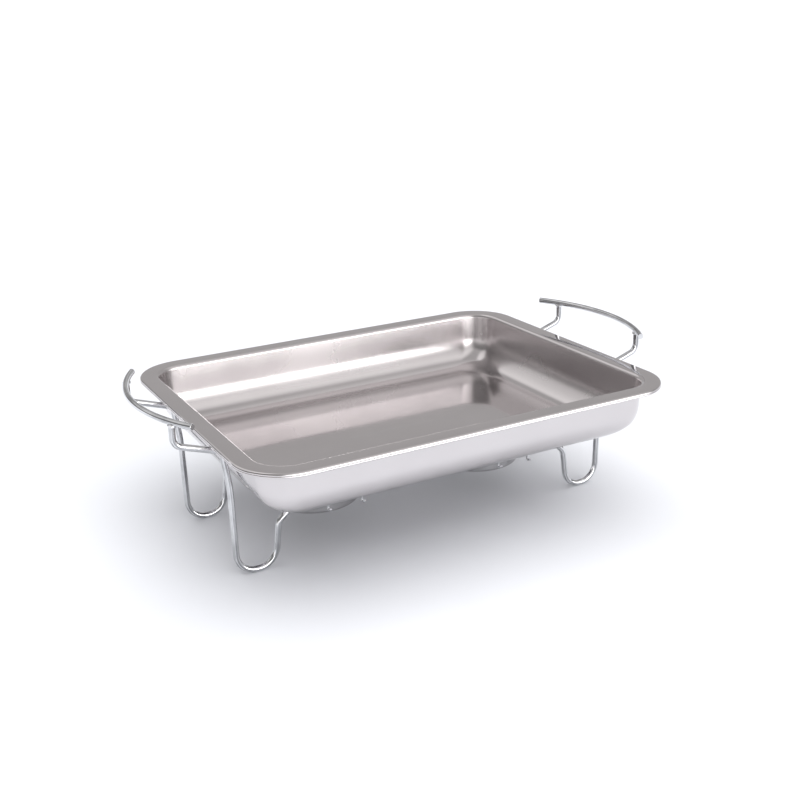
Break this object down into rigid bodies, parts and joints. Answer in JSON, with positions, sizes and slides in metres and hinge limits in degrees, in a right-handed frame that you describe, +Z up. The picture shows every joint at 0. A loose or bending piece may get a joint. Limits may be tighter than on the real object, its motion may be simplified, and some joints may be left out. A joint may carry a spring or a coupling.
{
  "type": "chafing dish",
  "caption": "Rectangular steel food tray resting on a bent chromed wire stand with a handle bow at each end and two round fuel burners hung on the stand's rails.",
  "frame": {"origin": "on the floor under the middle of the tray", "axes": "+X along the tray to its right-hand handle, +Y to the rear, +Z up"},
  "size_m": [0.5434, 0.351, 0.1658],
  "materials": {
    "tray_steel": "satin polished",
    "chromed_wire": "bright",
    "burner_steel": "bright drawn",
    "wick_fibre": "matt fibre"
  },
  "bodies": {
    "stand": {"front_side_wire": "chromed_wire", "rear_side_wire": "chromed_wire", "left_handle_bow": "chromed_wire", "right_handle_bow": "chromed_wire"},
    "tray": {"food_tray": "tray_steel"},
    "left_holder": {"left_holder_ring": "chromed_wire", "left_holder_front_outer_hook": "chromed_wire", "left_holder_front_inner_hook": "chromed_wire", "left_holder_rear_outer_hook": "chromed_wire", "left_holder_rear_inner_hook": "chromed_wire"},
    "left_burner": {"left_burner_cup": "burner_steel", "left_burner_wick": "wick_fibre", "left_burner_lid": "burner_steel", "left_damper_rivet": "burner_steel"},
    "left_damper": {"left_burner_damper": "burner_steel"},
    "right_holder": {"right_holder_ring": "chromed_wire", "right_holder_front_outer_hook": "chromed_wire", "right_holder_front_inner_hook": "chromed_wire", "right_holder_rear_outer_hook": "chromed_wire", "right_holder_rear_inner_hook": "chromed_wire"},
    "right_burner": {"right_burner_cup": "burner_steel", "right_burner_wick": "wick_fibre", "right_burner_lid": "burner_steel", "right_damper_rivet": "burner_steel"},
    "right_damper": {"right_burner_damper": "burner_steel"}
  },
  "joints": [
    {"name": "tray_lift", "type": "slide", "parent": "stand", "child": "tray", "axis": [0, 0, 1], "range_m": [0, 0.12]},
    {"name": "left_holder_slide", "type": "slide", "parent": "stand", "child": "left_holder", "axis": [1, 0, 0], "range_m": [-0.012, 0.03]},
    {"name": "left_burner_lift", "type": "slide", "parent": "left_holder", "child": "left_burner", "axis": [0, 0, 1], "range_m": [0, 0.01]},
    {"name": "left_damper_swing", "type": "hinge", "parent": "left_burner", "child": "left_damper", "pos_m": [-0.096, -0.036, 0.0666], "axis": [0, 0, -1], "range_deg": [0, 90]},
    {"name": "right_holder_slide", "type": "slide", "parent": "stand", "child": "right_holder", "axis": [1, 0, 0], "range_m": [-0.03, 0.012]},
    {"name": "right_burner_lift", "type": "slide", "parent": "right_holder", "child": "right_burner", "axis": [0, 0, 1], "range_m": [0, 0.01]},
    {"name": "right_damper_swing", "type": "hinge", "parent": "right_burner", "child": "right_damper", "pos_m": [0.096, -0.036, 0.0666], "axis": [0, 0, 1], "range_deg": [0, 90]}
  ]
}
